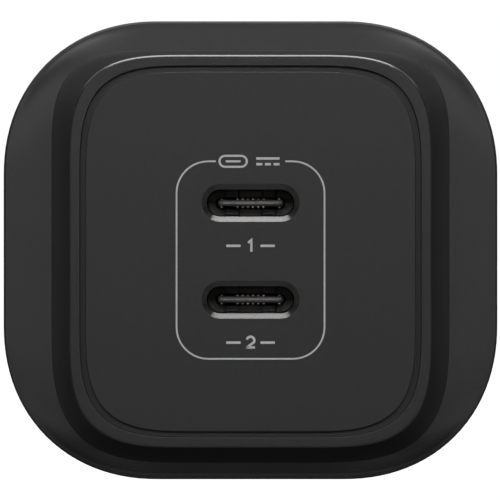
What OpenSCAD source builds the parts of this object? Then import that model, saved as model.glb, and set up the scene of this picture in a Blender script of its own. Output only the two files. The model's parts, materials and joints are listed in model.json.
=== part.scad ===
// Two-port wall charger with a three-pin wall plug, built as a bench assembly.
// Frame: millimetres, +Z up, +Y into the wall, the front face towards -Y.
// Origin: centre of the flat wall face of the rear cover.

/* [Housing] */
// Depth from the wall face to the front face
body_depth = 46; // [44:0.5:52]
// Depth of the slim front block, from the front face to the flange
block_depth = 32; // [30:0.5:34]
// Half width of the block at its front edge
front_half_w = 17.25; // [16.8:0.01:17.6]
// Half height of the block at its front edge
front_half_h = 18.66; // [18.2:0.01:19]
// Half width of the block where it meets the flange
root_half_w = 19.98; // [19.6:0.01:20.4]
// Half height of the block where it meets the flange
root_half_h = 20.7; // [20.3:0.01:21]
// How far the block's root is centred below the front
root_drop = 0.63; // [0:0.01:0.8]
// Half width of the flange
flange_half_w = 24.85; // [24:0.05:26]
// Half height of the flange
flange_half_h = 23.05; // [22.5:0.05:24]
// Housing wall thickness
wall = 1.8; // [1.5:0.1:2]

/* [Face panel] */
// Half width of the raised panel
panel_half_w = 15.65; // [15.4:0.01:15.8]
// Half height of the raised panel
panel_half_h = 17.08; // [16.8:0.01:17.2]
// Width of the shadow groove round the panel
groove_w = 0.56; // [0.4:0.02:0.7]
// Depth of the shadow groove
groove_depth = 0.5; // [0.3:0.05:0.7]
// Panel thickness
panel_t = 1.65; // [1.4:0.05:2]

/* [Ports] */
// Height of port 1 above the centre line
port_1_z = 4.49; // [4:0.01:5]
// Height of port 2 below the centre line
port_2_z = -4.7; // [-5.2:0.01:-4.2]
// Width of a port opening
port_w = 8.34; // [8.3:0.01:8.4]
// Height of a port opening
port_h = 2.56; // [2.5:0.01:2.6]
// Chamfer round a port opening
port_chamfer = 0.52; // [0.4:0.02:0.6]
// Depth of that chamfer behind the front face
port_chamfer_depth = 0.42; // [0.3:0.02:0.6]

/* [Wall plug] */
// Distance between the live and neutral pin centres
pin_spacing = 22.23; // [22.2:0.01:22.26]
// Height of the live and neutral pins, from the origin
pin_z = -11.4; // [-11.6:0.1:-11.2]
// Length of the live and neutral pins beyond the wall face
pin_length = 17.7; // [17.5:0.1:18]
// Length of the earth pin beyond the wall face
earth_length = 22.73; // [22.5:0.01:23]
// Length of the insulating sleeves beyond the wall face
sleeve_length = 9.3; // [9:0.1:9.5]

/* [Electronics] */
// Thickness of each circuit board
board_t = 1.2; // [1:0.1:1.6]
// Radius of each bulk capacitor can
can_r = 6.1; // [5.8:0.05:6.1]
// Length of each bulk capacitor can
can_length = 20; // [18:1:22]
// Half width of the transformer core
core_half_w = 9.1; // [8.8:0.1:9.3]
// Height of the transformer core
core_h = 15.6; // [15:0.1:15.8]

/* [Hidden] */
$fn = 48;
corner_steps = 20;                 // points along each soft corner
front_y = -body_depth;
recess_half_w = panel_half_w + groove_w;
recess_half_h = panel_half_h + groove_w;
cover_t = 2.4;
cover_gap = 0.1;                   // clearance round the rear cover
cover_proud = 0.4;                 // how far the rear cover stands out of the housing
seam_gap = 0.05;                   // clearance round the face panel
ledge_w = 0.8;
earth_z = pin_z + pin_spacing;     // the earth pin is as far above the pair as they are apart
pin_t = 3.97;
pin_w = 6.35;
earth_w = 7.92;
port_front = front_y + 0.85;       // the port shells nest in the back of the panel
shell_wall = 0.3;
shell_length = 6.6;
tongue_w = 6.69;
tongue_t = 0.7;
tongue_setback = 0.95;
contact_x = [-2.75, -1.25, -0.75, -0.25, 0.25, 0.75, 1.25, 2.75];
port_board_y = port_front + shell_length;
inlet_board_y = -7.5;
main_half_w = 13;                  // half widths of the boards
port_half_w = 13.6;
inlet_half_w = 14.4;
main_board_z = -15.4;              // top face of the main board
caps_z = 7.6;                      // centre line of the bulk capacitors
caps_x = [-6.6, 6.6];
caps_y = -8.3;                     // rear end of the bulk capacitors
lead_pitch = 5;                    // between the two leads of a bulk capacitor
core_x = -3.6;
core_y = -26;
core_z = main_board_z + 0.4 + core_h / 2;
core_depth = 15;
winding_pin_x = [-6, 0, 6];        // the transformer's pins, from its middle
winding_pin_y = core_depth / 2 - 1;

// ---------- outlines and lofts ----------

// A rectangle with superelliptic corners, as points in the X-Z plane, anticlockwise from the front.
// a, b: half sizes; r: how far each corner reaches; n: 2 is a circle, more is squarer; z: centre height;
// r_low: how far the lower two corners reach, where that differs.
function soft_rect(a, b, r, n, z = 0, r_low = 0) = [
    for (quarter = [0:3])
        for (i = [0:corner_steps])
            let (
                t = 90 * i / corner_steps,
                c = quarter > 1 && r_low > 0 ? r_low : r,
                reach = c * pow(pow(cos(t), n) + pow(sin(t), n), -1 / n),
                p = [reach * cos(t), reach * sin(t)]
            )
            quarter == 0 ? [a - c + p[0], z + b - c + p[1]]
            : quarter == 1 ? [-(a - c) - p[1], z + b - c + p[0]]
            : quarter == 2 ? [-(a - c) - p[0], z - (b - c) - p[1]]
            : [a - c + p[1], z - (b - c) - p[0]]
];

// One section of a loft: [depth from the front face, a, b, r, n, z], with r_low after them if it differs
function low_reach(s) = len(s) > 6 ? s[6] : s[3];
function section_ring(s) = [
    for (p = soft_rect(s[1], s[2], s[3], s[4], s[5], low_reach(s))) [p[0], front_y + s[0], p[1]]
];

// The section taken in by d all round
function inset(s, d) = [s[0], s[1] - d, s[2] - d, s[3] - d, s[4], s[5], low_reach(s) - d];
function at_depth(s, depth) = [depth, s[1], s[2], s[3], s[4], s[5], low_reach(s)];
// The same section with lower corners like the upper ones
function even_corners(s) = [s[0], s[1], s[2], s[3], s[4], s[5]];
function blend(s, t, u) = s * (1 - u) + t * u;
// A section t degrees into a rounded front edge of radius r, and into a rounded rear edge
function front_round(s, r, t) = inset(at_depth(s, s[0] + r * (1 - cos(t))), r * (1 - sin(t)));
function rear_round(s, r, t) = inset(at_depth(s, s[0] - r * (1 - sin(t))), r * (1 - cos(t)));

// A closed ring-shaped solid through sections that run out, back, in and forward again
module ring_loft(sections) {
    count = len(section_ring(sections[0]));
    rings = len(sections);
    points = [for (s = sections) each section_ring(s)];
    faces = [
        for (j = [0:rings - 1])
            for (i = [0:count - 1])
                let (
                    k = (j + 1) % rings,
                    h = (i + 1) % count,
                    here = j * count,
                    next = k * count
                )
                each [[here + i, here + h, next + h], [here + i, next + h, next + i]]
    ];
    polyhedron(points = points, faces = faces, convexity = 8);
}

// A plate with a soft outline, from depth y0 to y1 along Y
module soft_plate(s, y0, y1) {
    translate([0, y1, 0])
        rotate([90, 0, 0])
            linear_extrude(height = y1 - y0)
                polygon(soft_rect(s[1], s[2], s[3], s[4], s[5]));
}

// A box given by its low and high corners
module block(low, high) {
    translate(low) cube(high - low);
}

// A cylinder along Y from y0 to y1
module rod_y(r, y0, y1, r2 = undef) {
    translate([0, y1, 0]) rotate([90, 0, 0]) cylinder(h = y1 - y0, r1 = is_undef(r2) ? r : r2, r2 = r);
}

// A round-ended slot w wide and h high, from y0 to y1
module stadium(w, h, y0, y1) {
    translate([0, y1, 0])
        rotate([90, 0, 0])
            linear_extrude(height = y1 - y0) {
                square([w - h, h], center = true);
                for (side = [-1, 1]) translate([side * (w - h) / 2, 0]) circle(d = h);
            }
}

// ---------- housing sections, each [depth, a, b, r, n, z] ----------

edge_r = 0.2;                      // rounding of the block's front edge
front_drop = 0.1;                  // how far the front edge and the panel are centred below the origin
panel_drop = 0.13;
root_low_reach = 14;               // how far the lower corners reach at the block's root
rim_r = 0.4;                       // rounding of the flange's front and rear edges
flange_slope = 1.2;                // how far the flange's front face falls back towards its edge
front_edge = [0, front_half_w, front_half_h, 11.5, 3.36, -front_drop, 11.5];
block_root = [block_depth, root_half_w, root_half_h, 10.6, 3.2, -root_drop, root_low_reach];
flange_edge = [block_depth + flange_slope, flange_half_w, flange_half_h, 15.5, 2.14, 0, 15.5];
flange_rear = [body_depth - cover_proud, flange_half_w + 0.12, flange_half_h + 0.12, 15.6, 2.14, 0];
recess = [0, recess_half_w, recess_half_h, 10.95, 3.36, -panel_drop];
panel_edge = [0, panel_half_w, panel_half_h, 10.6, 3.42, -panel_drop];
cover_edge = [body_depth - cover_proud, flange_half_w - 1.75, flange_half_h - 1.75, 13.8, 2.14, 0];

function block_section(depth) = blend(front_edge, block_root, depth / block_depth);

inner_front = panel_t + 1;         // depth where the cavity begins behind the face panel

module housing_skin() {
    inner_root = block_depth + wall;
    ring_loft([
        // outer skin, front to rear
        for (t = [0:30:90]) front_round(front_edge, edge_r, t),
        block_root,
        for (u = [0.33, 0.67])
            at_depth(blend(block_root, flange_edge, u), block_depth + flange_slope * u),
        for (t = [15:25:90]) front_round(flange_edge, rim_r, t),
        for (t = [0:30:90]) rear_round(flange_rear, rim_r, t),
        // rear opening and the ledge that the rear cover rests on
        cover_edge,
        at_depth(cover_edge, body_depth - cover_t),
        inset(at_depth(cover_edge, body_depth - cover_t), ledge_w),
        inset(at_depth(cover_edge, inner_root + 0.5), ledge_w),
        // cavity, rear to front
        inset(at_depth(even_corners(block_section(block_depth)), inner_root), wall),
        inset(at_depth(even_corners(block_section(inner_front)), inner_front), wall),
        // ledge that the face panel rests on, and its recess
        inset(at_depth(recess, inner_front), 1.3),
        inset(at_depth(recess, panel_t), 1.3),
        at_depth(recess, panel_t),
        recess
    ]);
}

// Two ribs on the cavity's floor that carry the main board
module floor_ribs() {
    rib_x = 11.6;
    rib_t = 1;
    depths = [inner_front + 1, block_depth - 1];
    floor_z = [for (d = depths) block_section(d)[5] - block_section(d)[2] + wall - 0.6];
    rib_top = main_board_z - board_t;
    for (side = [-1, 1])
        translate([side * rib_x - rib_t / 2, 0, 0])
            rotate([90, 0, 90])
                linear_extrude(height = rib_t)
                    polygon([
                        [front_y + depths[0], floor_z[0]], [front_y + depths[1], floor_z[1]],
                        [front_y + depths[1], rib_top], [front_y + depths[0], rib_top]
                    ]);
}

module housing_shell() {
    color([0.17, 0.17, 0.175])
        union() {
            housing_skin();
            floor_ribs();
        }
}

shell_fit = 0.05;                  // clearance round a port's shell in the panel

module port_opening(z) {
    mouth_h = port_h + 2 * port_chamfer;
    translate([0, 0, z]) {
        stadium(port_w, port_h, front_y - 1, front_y + panel_t + 1);
        // chamfer: a cone at each end and a wedge between them
        for (side = [-1, 1])
            translate([side * (port_w - port_h) / 2, 0, 0])
                rod_y(mouth_h / 2, front_y, front_y + port_chamfer_depth, port_h / 2);
        translate([-(port_w - port_h) / 2, front_y, 0])
            rotate([90, 0, 90])
                linear_extrude(height = port_w - port_h)
                    polygon([
                        [0, -mouth_h / 2],
                        [port_chamfer_depth, -port_h / 2],
                        [port_chamfer_depth, port_h / 2],
                        [0, mouth_h / 2]
                    ]);
        // pocket in the back for the port's metal shell
        stadium(port_w + 2 * (shell_wall + shell_fit), port_h + 2 * (shell_wall + shell_fit),
                port_front, front_y + panel_t + 1);
    }
}

module face_panel() {
    color([0.19, 0.19, 0.195])
        difference() {
            union() {
                soft_plate(panel_edge, front_y, front_y + groove_depth + 0.1);
                soft_plate(inset(recess, seam_gap), front_y + groove_depth, front_y + panel_t);
            }
            port_opening(port_1_z);
            port_opening(port_2_z);
        }
}

// ---------- wall plug ----------

// A flat-sided pin along +Y with a tapered tip; w along X, t along Z
module blade(w, t, y0, y1, taper = 1.4, tip = 0.55) {
    intersection() {
        translate([0, 0, -t / 2])
            linear_extrude(height = t)
                polygon([
                    [-w / 2, y0], [w / 2, y0], [w / 2, y1 - taper],
                    [w / 2 * (1 - tip * 0.5), y1], [-w / 2 * (1 - tip * 0.5), y1], [-w / 2, y1 - taper]
                ]);
        translate([-w / 2, 0, 0])
            rotate([90, 0, 90])
                linear_extrude(height = w)
                    polygon([
                        [y0, -t / 2], [y1 - taper, -t / 2], [y1, -t / 2 * (1 - tip)],
                        [y1, t / 2 * (1 - tip)], [y1 - taper, t / 2], [y0, t / 2]
                    ]);
    }
}

sleeve_t = 0.35;       // wall of the moulded pin sleeve
boss_h = 2.2;          // how far the pin bosses stand inside the rear cover

module power_pin(side) {
    color([0.78, 0.76, 0.72])
        translate([side * pin_spacing / 2, 0, pin_z])
            difference() {
                union() {
                    blade(pin_w, pin_t, -cover_t - boss_h, pin_length);
                    // solder tail through the inlet board
                    block([-0.9, inlet_board_y - 0.8, -0.5], [0.9, -cover_t - boss_h, 0.5]);
                }
                // the pin is necked down where the sleeve is moulded on, so the outside stays flush
                difference() {
                    block([-pin_w, -cover_t - boss_h, -pin_t], [pin_w, sleeve_length, pin_t]);
                    block([-pin_w / 2 + sleeve_t, -cover_t - boss_h - 1, -pin_t / 2 + sleeve_t],
                          [pin_w / 2 - sleeve_t, sleeve_length + 1, pin_t / 2 - sleeve_t]);
                }
            }
}

module pin_sleeve(side) {
    color([0.06, 0.06, 0.065])
        translate([side * pin_spacing / 2, 0, pin_z])
            difference() {
                block([-pin_w / 2, -cover_t - boss_h, -pin_t / 2], [pin_w / 2, sleeve_length, pin_t / 2]);
                block([-pin_w / 2 + sleeve_t, -cover_t - boss_h - 1, -pin_t / 2 + sleeve_t],
                      [pin_w / 2 - sleeve_t, sleeve_length + 1, pin_t / 2 - sleeve_t]);
            }
}

module earth_pin() {
    color([0.08, 0.08, 0.085])
        translate([0, 0, earth_z]) {
            rotate([0, 90, 0]) blade(earth_w, pin_t, -cover_t - boss_h, earth_length, 1.8, 0.5);
            // shoulder that stops it pulling out through the cover
            block([-pin_t / 2 - 0.8, -cover_t - boss_h - 0.8, -earth_w / 2 - 0.8],
                  [pin_t / 2 + 0.8, -cover_t - boss_h, earth_w / 2 + 0.8]);
        }
}

module rear_cover() {
    boss_wall = 1.2;
    rib_x = 6;
    rib_t = 1.2;
    rib_h = 1.4;
    color([0.15, 0.15, 0.155])
        difference() {
            union() {
                soft_plate(inset(cover_edge, cover_gap), -cover_t, 0);
                for (side = [-1, 1])
                    translate([side * pin_spacing / 2, 0, pin_z])
                        block([-pin_w / 2 - boss_wall, -cover_t - boss_h, -pin_t / 2 - boss_wall],
                              [pin_w / 2 + boss_wall, -cover_t, pin_t / 2 + boss_wall]);
                translate([0, 0, earth_z])
                    block([-pin_t / 2 - boss_wall, -cover_t - boss_h, -earth_w / 2 - boss_wall],
                          [pin_t / 2 + boss_wall, -cover_t, earth_w / 2 + boss_wall]);
                // stiffening ribs between the bosses
                for (side = [-1, 1])
                    translate([side * rib_x, 0, 0])
                        block([-rib_t / 2, -cover_t - rib_h, pin_z - 4],
                              [rib_t / 2, -cover_t, earth_z + 4]);
            }
            for (side = [-1, 1])
                translate([side * pin_spacing / 2, 0, pin_z])
                    block([-pin_w / 2, -cover_t - boss_h - 1, -pin_t / 2], [pin_w / 2, 1, pin_t / 2]);
            translate([0, 0, earth_z])
                block([-pin_t / 2, -cover_t - boss_h - 1, -earth_w / 2], [pin_t / 2, 1, earth_w / 2]);
        }
}

// ---------- ports, each drawn at its own height ----------

tongue_y0 = port_front + tongue_setback;
base_y0 = port_front + 4.4;
contact_w = 0.26;
contact_t = 0.12;
plate_t = 0.16;

module port_shell(z) {
    color([0.35, 0.35, 0.36])
        translate([0, 0, z]) {
            difference() {
                stadium(port_w + 2 * shell_wall, port_h + 2 * shell_wall, port_front, port_board_y - 0.1);
                stadium(port_w, port_h, port_front - 1, port_board_y);
            }
            // grip springs, two above and two below
            for (side = [-1, 1])
                for (flip = [-1, 1])
                    translate([side * 1.77, 0, flip * (port_h / 2 - 0.04)])
                        block([-0.7, port_front + 1.6, -0.06], [0.7, port_front + 3.6, 0.06]);
            // legs that pass through the port board
            for (side = [-1, 1])
                block([side * (port_w / 2 + 0.15) - 0.15, port_board_y - 0.4, -0.6],
                      [side * (port_w / 2 + 0.15) + 0.15, port_board_y + board_t + 0.5, 0.6]);
        }
}

module contact_rows() {
    for (x = contact_x)
        for (flip = [-1, 1]) {
            translate([x, 0, flip * (tongue_t - contact_t) / 2])
                block([-contact_w / 2, tongue_y0 + 0.25, -contact_t / 2],
                      [contact_w / 2, port_board_y, contact_t / 2]);
        }
}

module ground_plate_flat() {
    half_w = tongue_w / 2 - 0.35;
    block([-half_w, tongue_y0 + 0.12, -plate_t / 2], [half_w, port_board_y, plate_t / 2]);
    // latch ears, flush with the sides of the tongue
    for (side = [-1, 1])
        block([side * (tongue_w / 2 - 0.2) - 0.2, tongue_y0 + 1.2, -plate_t / 2],
              [side * (tongue_w / 2 - 0.2) + 0.2, base_y0, plate_t / 2]);
}

module port_contacts(z) {
    color([0.83, 0.68, 0.32]) translate([0, 0, z]) contact_rows();
}

module port_ground_plate(z) {
    color([0.6, 0.6, 0.62]) translate([0, 0, z]) ground_plate_flat();
}

module port_insulator(z) {
    tip_w = 0.5;
    color([0.05, 0.05, 0.05])
        translate([0, 0, z])
            difference() {
                union() {
                    // tongue with a tapered tip
                    linear_extrude(height = tongue_t, center = true)
                        polygon([
                            [-tongue_w / 2 + tip_w, tongue_y0], [tongue_w / 2 - tip_w, tongue_y0],
                            [tongue_w / 2, tongue_y0 + tip_w], [tongue_w / 2, base_y0],
                            [-tongue_w / 2, base_y0], [-tongue_w / 2, tongue_y0 + tip_w]
                        ]);
                    block([-tongue_w / 2, base_y0 - 0.9, -0.6], [tongue_w / 2, base_y0, 0.6]);
                    stadium(port_w - 0.06, port_h - 0.06, base_y0, port_board_y - 0.1);
                }
                contact_rows();
                ground_plate_flat();
            }
}

// ---------- boards ----------

board_green = [0.05, 0.28, 0.16];

module inlet_board() {
    color(board_green)
        difference() {
            block([-inlet_half_w, inlet_board_y, main_board_z - board_t],
                  [inlet_half_w, inlet_board_y + board_t, 14]);
            for (side = [-1, 1])
                translate([side * pin_spacing / 2, 0, pin_z])
                    block([-1, inlet_board_y - 1, -0.6], [1, inlet_board_y + board_t + 1, 0.6]);
            // holes for the bulk capacitor leads
            for (x = caps_x)
                for (side = [-1, 1])
                    translate([x + side * lead_pitch / 2, 0, caps_z])
                        rod_y(0.4, inlet_board_y - 1, inlet_board_y + board_t + 1);
        }
}

module main_board() {
    color(board_green)
        difference() {
            block([-main_half_w, port_board_y + board_t + 0.3, main_board_z - board_t],
                  [main_half_w, inlet_board_y - 0.4, main_board_z]);
            for (x = winding_pin_x)
                for (side = [-1, 1])
                    translate([core_x + x, core_y + side * winding_pin_y, main_board_z - board_t - 1])
                        cylinder(h = board_t + 2, r = 0.4);
        }
}

module port_board() {
    color(board_green)
        difference() {
            block([-port_half_w, port_board_y, -15.6], [port_half_w, port_board_y + board_t, 14]);
            for (z = [port_1_z, port_2_z])
                for (side = [-1, 1])
                    translate([side * (port_w / 2 + 0.15), 0, z])
                        block([-0.25, port_board_y - 1, -0.7], [0.25, port_board_y + board_t + 1, 0.7]);
        }
}

// ---------- transformer ----------

// One half of the ferrite core: a plate, two outer legs and a round centre post
module core_half() {
    plate = 2.8;
    leg = 2.2;
    post_r = 3.9;
    color([0.2, 0.2, 0.21]) {
        block([-core_half_w, -core_depth / 2, -core_h / 2],
              [core_half_w, core_depth / 2, -core_h / 2 + plate]);
        for (side = [-1, 1])
            block([side * (core_half_w - leg / 2) - leg / 2, -core_depth / 2, -core_h / 2],
                  [side * (core_half_w - leg / 2) + leg / 2, core_depth / 2, 0]);
        translate([0, 0, -core_h / 2]) cylinder(h = core_h / 2, r = post_r);
    }
}

module at_core() {
    translate([core_x, core_y, core_z]) children();
}

module transformer_core_lower() {
    at_core() core_half();
}

module transformer_core_upper() {
    at_core() mirror([0, 0, 1]) core_half();
}

window_half = core_h / 2 - 2.85;       // half height of the core's window

module transformer_bobbin() {
    color([0.12, 0.12, 0.1])
        at_core()
            difference() {
                union() {
                    cylinder(h = 2 * window_half, r = 4.6, center = true);
                    for (flip = [-1, 1])
                        translate([0, 0, flip * (window_half - 0.35)])
                            cube([13.6, core_depth - 0.6, 0.7], center = true);
                }
                cylinder(h = core_h, r = 3.95, center = true);
            }
}

module ring(r_in, r_out, half) {
    difference() {
        cylinder(h = 2 * half, r = r_out, center = true);
        cylinder(h = 2 * half + 2, r = r_in, center = true);
    }
}

module transformer_winding() {
    color([0.72, 0.4, 0.16]) at_core() ring(4.65, 6.3, window_half - 0.8);
}

module transformer_tape() {
    color([0.85, 0.68, 0.12]) at_core() ring(6.33, 6.55, window_half - 0.85);
}

module transformer_pins() {
    color([0.75, 0.75, 0.76])
        at_core()
            for (x = winding_pin_x)
                for (side = [-1, 1])
                    translate([x, side * winding_pin_y, -core_h / 2 - 0.4 - board_t - 0.8])
                        cylinder(h = 0.4 + board_t + 0.8, r = 0.3);
}

// ---------- capacitors ----------

module at_cap(number) {
    translate([caps_x[number - 1], 0, caps_z]) children();
}

module bulk_capacitor_can(number) {
    color([0.78, 0.79, 0.8])
        at_cap(number)
            difference() {
                rod_y(can_r, caps_y - can_length, caps_y);
                rod_y(can_r - 0.4, caps_y - 2, caps_y + 1);
                // vent cross on the closed end
                for (turn = [0, 90])
                    rotate([0, turn, 0])
                        translate([0, caps_y - can_length, 0])
                            block([-3, -1, -0.15], [3, 0.12, 0.15]);
            }
}

module bulk_capacitor_sleeve(number) {
    color([0.08, 0.09, 0.12])
        at_cap(number)
            difference() {
                rod_y(can_r + 0.15, caps_y - can_length - 0.15, caps_y);
                rod_y(can_r + 0.02, caps_y - can_length, caps_y + 1);
                rod_y(can_r - 1, caps_y - can_length - 1, caps_y);
            }
}

module bulk_capacitor_bungs() {
    color([0.13, 0.13, 0.13])
        for (number = [1, 2])
            at_cap(number)
                difference() {
                    rod_y(can_r - 0.42, caps_y - 1.9, caps_y - 0.3);
                    for (side = [-1, 1])
                        translate([side * lead_pitch / 2, 0, 0]) rod_y(0.32, caps_y - 3, caps_y + 1);
                }
}

module bulk_capacitor_leads() {
    color([0.75, 0.75, 0.76])
        for (number = [1, 2])
            at_cap(number)
                for (side = [-1, 1])
                    translate([side * lead_pitch / 2, 0, 0])
                        rod_y(0.3, caps_y - 1.9, inlet_board_y + board_t + 0.35);
}

filter_x = 7.2;
filter_z = -3.4;
filter_half = [6, 4.4];            // half width and half height of the filter capacitor
filter_depth = 6.7;

module filter_capacitor() {
    color([0.85, 0.72, 0.12])
        difference() {
            translate([filter_x, inlet_board_y - 0.3, filter_z])
                block([-filter_half[0], -filter_depth, -filter_half[1]],
                      [filter_half[0], 0, filter_half[1]]);
            // stand-off recess under the box
            translate([filter_x, inlet_board_y, filter_z])
                block([-4, -0.6, -filter_half[1] - 1], [4, 0, filter_half[1] + 1]);
        }
}

module filter_capacitor_leads() {
    color([0.75, 0.75, 0.76])
        for (side = [-1, 1])
            translate([filter_x + side * 5, 0, filter_z]) rod_y(0.3, inlet_board_y - 0.3, inlet_board_y);
}

// A dipped disc that stands on two leads, its edges bevelled
module safety_capacitor() {
    disc_r = 3.9;
    disc_half = 1.5;
    bevel = 0.4;
    stand = 4.9;
    color([0.12, 0.3, 0.62])
        translate([9.2, -16.6, main_board_z + stand]) {
            rod_y(disc_r, -disc_half + bevel, disc_half - bevel);
            rod_y(disc_r - bevel, -disc_half, -disc_half + bevel, disc_r);
            rod_y(disc_r, disc_half - bevel, disc_half, disc_r - bevel);
            for (side = [-1, 1]) translate([side * 2.5, 0, -stand]) cylinder(h = 2.4, r = 0.3);
        }
}

module output_capacitor(y) {
    can = 3.1;
    color([0.8, 0.8, 0.82])
        translate([9.6, y, main_board_z]) {
            block([-3.3, -3.3, 0], [3.3, 3.3, 0.6]);
            translate([0, 0, 0.6]) cylinder(h = 0.9, r = can);
            translate([0, 0, 1.5]) cylinder(h = 0.6, r = can - 0.25);
            translate([0, 0, 2.1]) cylinder(h = 7, r = can);
        }
}

// ---------- choke, fuse and chips ----------

choke_standoff = 4.3;              // from the inlet board to the middle of the choke
choke_at = [-6.9, inlet_board_y - choke_standoff, -4.8];

choke_in = 3.9;                    // inner and outer radius of the ring core
choke_out = 5.6;
choke_half = 2.6;                  // half its thickness

module choke_core() {
    color([0.16, 0.35, 0.2]) translate(choke_at) rotate([90, 0, 0]) ring(choke_in, choke_out, choke_half);
}

// Turns of enamelled wire round one side of the toroid, each a ring of square section
module choke_winding(side) {
    wire = 0.55;
    fit = 0.1;
    color([0.74, 0.38, 0.14])
        translate(choke_at)
            for (turn = [-3:3])
                rotate([0, 90 * (1 - side) + turn * 17, 0]) {
                    difference() {
                        block([choke_in - wire, -choke_half - wire, -wire / 2],
                              [choke_out + wire, choke_half + wire, wire / 2]);
                        block([choke_in - fit, -choke_half - fit, -wire],
                              [choke_out + fit, choke_half + fit, wire]);
                    }
                    // the end turns run on into the inlet board
                    if (abs(turn) == 3)
                        block([choke_out + fit, choke_half, -wire / 2],
                              [choke_out + wire, choke_standoff, wire / 2]);
                }
}

module fuse() {
    color([0.2, 0.1, 0.06])
        translate([1.5, 0, -11.4]) {
            rod_y(3.3, inlet_board_y - 7.5, inlet_board_y - 0.5);
            for (side = [-1, 1]) translate([side * 2, 0, 0]) rod_y(0.3, inlet_board_y - 1, inlet_board_y);
        }
}

// A moulded chip with legs along both long sides
module chip(size, legs, pitch) {
    body_z = 0.15;
    block([-size[0] / 2, -size[1] / 2, body_z], [size[0] / 2, size[1] / 2, size[2]]);
    for (side = [-1, 1])
        for (i = [0:legs - 1])
            translate([side * (size[0] / 2 + 0.25), (i - (legs - 1) / 2) * pitch, 0])
                block([-0.35, -0.18, 0], [0.35, 0.18, body_z + 0.2]);
}

chip_black = [0.07, 0.07, 0.075];

module bridge_rectifier() {
    color(chip_black) translate([9.6, -12.2, main_board_z]) chip([6.4, 5.2, 2.2], 2, 3.4);
}

// On the underside of the main board
module under_board(x, y) {
    translate([x, y, main_board_z - board_t]) mirror([0, 0, 1]) children();
}

module power_switch() {
    color(chip_black) under_board(-7, -24) chip([6, 7.6, 0.9], 4, 1.8);
}

module controller_chip() {
    color(chip_black) under_board(3, -25) chip([3.9, 4.9, 0.9], 4, 1.2);
}

module optocoupler() {
    color(chip_black) under_board(7, -15) chip([4.4, 3.6, 1.1], 2, 1.27);
}

module output_inductor(z) {
    half = 3.3;
    color([0.3, 0.3, 0.31])
        translate([10.2, port_board_y + board_t, z])
            block([-half, 0, -half], [half, 2.8, half]);
}

// ---------- shields and links ----------

sheet_t = 0.4;
shield_half_w = 13.8;
shield_top = caps_z + can_r + 0.3;

// A sheet bent over the top and both sides of the electronics
module bent_sheet(half_w, top, t, foot, y0, y1) {
    block([-half_w - t, y0, top], [half_w + t, y1, top + t]);
    for (side = [-1, 1])
        translate([side * (half_w + t / 2), 0, 0])
            block([-t / 2, y0, foot], [t / 2, y1, top + t]);
}

module heat_spreader() {
    color([0.75, 0.45, 0.3])
        bent_sheet(shield_half_w, shield_top, sheet_t, -13,
                   port_board_y + board_t + 0.5, inlet_board_y - 0.8);
}

module insulation_sheet() {
    color([0.12, 0.12, 0.13])
        bent_sheet(shield_half_w + sheet_t, shield_top + sheet_t, 0.15, -14,
                   port_board_y + board_t + 0.2, inlet_board_y - 0.5);
}

module thermal_pad() {
    color([0.45, 0.55, 0.62])
        block([-shield_half_w, core_y - 6, core_z - 6], [core_x - core_half_w, core_y + 6, core_z + 6]);
}

// Square pins that lie on the main board and meet a standing board, one at each x
module header(xs, y0) {
    pin = 0.64;
    color([0.75, 0.75, 0.76])
        for (x = xs)
            translate([x, y0, main_board_z]) block([-pin / 2, 0, 0], [pin / 2, 3, pin]);
}

module port_header() {
    header([-6:2:6], port_board_y + board_t);
}

module inlet_header() {
    header([-8, -5.5, -3, -0.5], inlet_board_y - 3);
}

// ---------- nodes ----------

housing_shell();
face_panel();
rear_cover();
power_pin(1);  // live_pin
power_pin(-1);  // neutral_pin
pin_sleeve(1);  // live_pin_sleeve
pin_sleeve(-1);  // neutral_pin_sleeve
earth_pin();
inlet_board();
main_board();
port_board();
port_shell(port_1_z);  // port_1_shell
port_insulator(port_1_z);  // port_1_insulator
port_contacts(port_1_z);  // port_1_contacts
port_ground_plate(port_1_z);  // port_1_ground_plate
port_shell(port_2_z);  // port_2_shell
port_insulator(port_2_z);  // port_2_insulator
port_contacts(port_2_z);  // port_2_contacts
port_ground_plate(port_2_z);  // port_2_ground_plate
transformer_core_upper();
transformer_core_lower();
transformer_bobbin();
transformer_winding();
transformer_tape();
transformer_pins();
bulk_capacitor_can(1);  // bulk_capacitor_can_1
bulk_capacitor_can(2);  // bulk_capacitor_can_2
bulk_capacitor_sleeve(1);  // bulk_capacitor_sleeve_1
bulk_capacitor_sleeve(2);  // bulk_capacitor_sleeve_2
bulk_capacitor_bungs();
bulk_capacitor_leads();
filter_capacitor();
filter_capacitor_leads();
choke_core();
choke_winding(-1);  // choke_winding_live
choke_winding(1);  // choke_winding_neutral
fuse();
bridge_rectifier();
safety_capacitor();
output_capacitor(-22.8);  // output_capacitor_1
output_capacitor(-30);  // output_capacitor_2
output_inductor(port_1_z);  // output_inductor_1
output_inductor(port_2_z);  // output_inductor_2
power_switch();
controller_chip();
optocoupler();
heat_spreader();
insulation_sheet();
thermal_pad();
port_header();
inlet_header();
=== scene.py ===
"""The looks of the wall charger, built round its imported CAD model.

Lengths in the tables below are in millimetres, in the CAD frame: +Y into the wall, +Z up, and the
origin in the middle of the wall face. They are turned into metres where a mesh is made.
"""

import json
import math

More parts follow.
